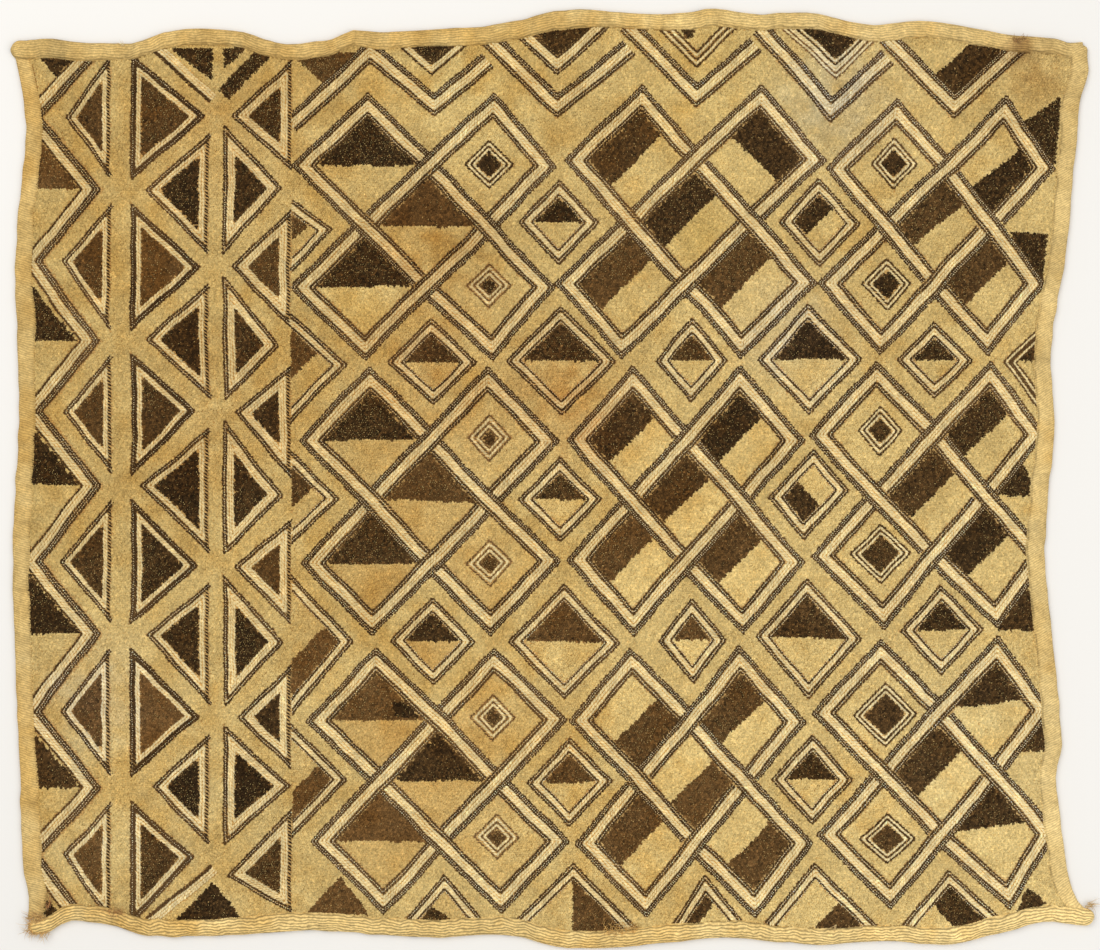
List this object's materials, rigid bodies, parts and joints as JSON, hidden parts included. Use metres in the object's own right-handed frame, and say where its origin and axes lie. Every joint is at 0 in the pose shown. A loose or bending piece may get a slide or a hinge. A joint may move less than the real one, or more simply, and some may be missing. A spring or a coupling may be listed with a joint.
{
  "type": "kuba raffia cloth",
  "caption": "Flat woven raffia panel with a geometric cut-pile and line-stitch pattern of interlaced bands, lozenges and triangles, its uneven edge turned over as a rolled hem.",
  "frame": {"origin": "middle of the panel's bounding box, on the flat underside", "axes": "+X along the long side, +Y up the short side as the pattern is read, +Z out of the decorated face"},
  "size_m": [0.618, 0.5354, 0.0044],
  "materials": {
    "raffia": "dry, matt, short cut pile"
  },
  "bodies": {
    "root": {"raffia_panel": "raffia"}
  },
  "joints": []
}
